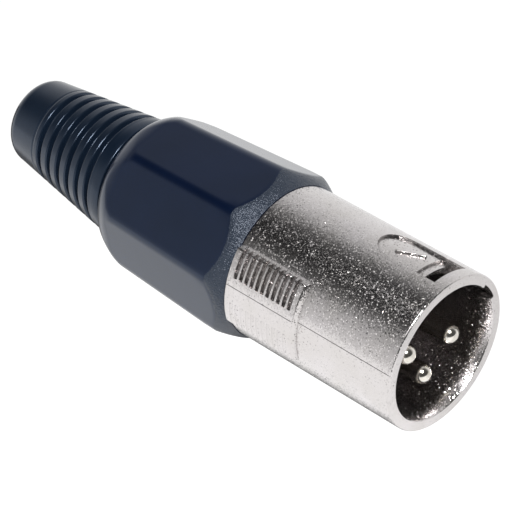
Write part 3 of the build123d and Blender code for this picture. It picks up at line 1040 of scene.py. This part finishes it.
# Painted light: the glow is a little stronger on the table's near side.
painted_near_light = add_node(
    tree,
    "ShaderNodeMapRange",
    {
        "From Min": -near_half * MM,
        "From Max": near_half * MM,
        "To Min": near_level,
        "To Max": far_level,
    },
    {"Value": axes.outputs["Y"]},
    interpolation_type="SMOOTHSTEP",
)
strength = add_node(
    tree,
    "ShaderNodeMath",
    links={0: painted_shadow.outputs[0], 1: painted_near_light.outputs[0]},
    operation="MULTIPLY",
)
glow = add_node(tree, "ShaderNodeEmission", links={"Strength": strength.outputs[0]})
glow_share = add_node(
    tree,
    "ShaderNodeMapRange",
    {"To Max": 1 - shadow_share},
    {"Value": path.outputs["Is Camera Ray"]},
)
glow_total = add_node(
    tree,
    "ShaderNodeMath",
    links={0: glow_share.outputs[0], 1: path.outputs["Is Glossy Ray"]},
    operation="MAXIMUM",
)
mixed = add_node(
    tree,
    "ShaderNodeMixShader",
    links={0: glow_total.outputs[0], 1: shader.outputs[0], 2: glow.outputs[0]},
)
tree.links.new(mixed.outputs[0], tree.nodes["Material Output"].inputs["Surface"])
floor.data.materials.append(table_paint)
print("table lies at", round(floor_z / MM, 2), "mm")

# %% [markdown]
# ### The room
# A picture of a room wrapped round the scene would do, but a few soft steps of grey are enough and
# need no file. The brightness depends on the direction alone: pale all round, dark overhead behind
# the plug, which the shell mirrors as its dark sparkling band, and dark again in front of its
# mouth, which the inside of the shell and the cone's far side mirror.

# %% Room
world = bpy.data.worlds.new("studio_room")
bpy.context.scene.world = world
world.use_nodes = True
tree = world.node_tree
direction = add_node(tree, "ShaderNodeTexCoord")


def nearness(towards):
    """One towards a direction of the room, falling to nought a right angle away from it."""
    return add_node(
        tree,
        "ShaderNodeVectorMath",
        {1: tuple(Vector(towards).normalized())},
        {0: direction.outputs["Generated"]},
        operation="DOT_PRODUCT",
    )


def grey_steps(source, steps):
    """Grey level that follows (nearness, level) steps."""
    ramp = add_node(tree, "ShaderNodeValToRGB", links={"Fac": source.outputs["Value"]})
    stops = ramp.color_ramp.elements
    while len(stops) < len(steps):
        stops.new(0.5)
    for stop, (position, level) in zip(stops, steps):
        stop.position = position
        stop.color = (level, level, level, 1)
    return ramp


overhead = grey_steps(
    nearness((-0.548, -0.1, 0.83)),
    [(0.25, 1.0), (0.42, 0.9), (0.65, 0.7), (0.75, 0.58), (0.84, 0.34), (0.91, 0.12), (1.0, 0.01)],
)
in_front = grey_steps(nearness((0.82, -0.16, 0.55)), [(0.3, 1.0), (0.66, 0.12), (1.0, 0.06)])
both = add_node(
    tree,
    "ShaderNodeMath",
    links={0: overhead.outputs[0], 1: in_front.outputs[0]},
    operation="MULTIPLY",
)
path = add_node(tree, "ShaderNodeLightPath")
level = add_node(
    tree,
    "ShaderNodeMath",
    links={0: both.outputs[0], 1: path.outputs["Is Camera Ray"]},
    operation="MAXIMUM",
)
tree.links.new(level.outputs[0], tree.nodes["Background"].inputs["Strength"])
tree.nodes["Background"].inputs["Color"].default_value = (1, 1, 1, 1)
print("room made of", len(tree.nodes), "nodes")

# %% [markdown]
# ### The lamps
# One large soft lamp hangs over the plug, a little towards the camera. Large lamps alone make metal
# look flat, so a small one over the mouth makes the facets flash, and a small one in front lights
# the nut's cone and the fronts of the ribs.

# %% Lamps


def soft_lamp(name, place, aim, size, power):
    """A square soft lamp that points at a place."""
    data = bpy.data.lights.new(name, "AREA")
    data.size = size
    data.energy = power
    lamp = bpy.data.objects.new(name, data)
    bpy.context.scene.collection.objects.link(lamp)
    lamp.location = place
    lamp.rotation_euler = (Vector(aim) - Vector(place)).to_track_quat("-Z", "Y").to_euler()


for name, aim_x, towards, distance, size, power in (
    ("overhead", -0.02, (0.1, -0.38, 0.92), 0.5, 0.3, 0.4),
    ("sparkle", -0.004, (-0.35, -0.08, 0.93), 0.3, 0.04, 0.012),
    ("front", -0.02, (0.5, -0.18, 0.85), 0.5, 0.14, 3.0),
):
    aim = Vector((aim_x, 0, 0))
    soft_lamp(name, aim + Vector(towards).normalized() * distance, aim, size, power)
print("lamps:", len(bpy.data.lights))

# %% [markdown]
# ## Camera
# The camera looks down on the plug from its mouth end with a long lens, and is rolled a little, so
# the plug lies across the picture from the upper left to the lower right. A tracking constraint
# would keep it level, so its turn is worked out from the three angles instead.

# %% Camera
view_azimuth, view_elevation, view_roll = 50.23, 44.53, 10.25
view_distance = 263.75 * MM
view_target = Vector((-29.343, 0.474, -2.549)) * MM
lens, sensor_width = 160.06, 36
azimuth, elevation = radians(view_azimuth), radians(view_elevation)
back = Vector((sin(azimuth) * cos(elevation), -cos(azimuth) * cos(elevation), sin(elevation)))
camera = bpy.data.objects.new("camera", bpy.data.cameras.new("camera"))
bpy.context.scene.collection.objects.link(camera)
camera.data.lens = lens
camera.data.sensor_width = sensor_width
camera.data.clip_start = 0.01
camera.location = view_target + back * view_distance
level_look = (-back).to_track_quat("-Z", "Y")
camera.rotation_mode = "QUATERNION"
camera.rotation_quaternion = level_look @ Quaternion((0, 0, 1), -radians(view_roll))
bpy.context.scene.camera = camera
bpy.context.scene.view_settings.view_transform = "Standard"
print("camera at", [round(v / MM) for v in camera.location], "mm")
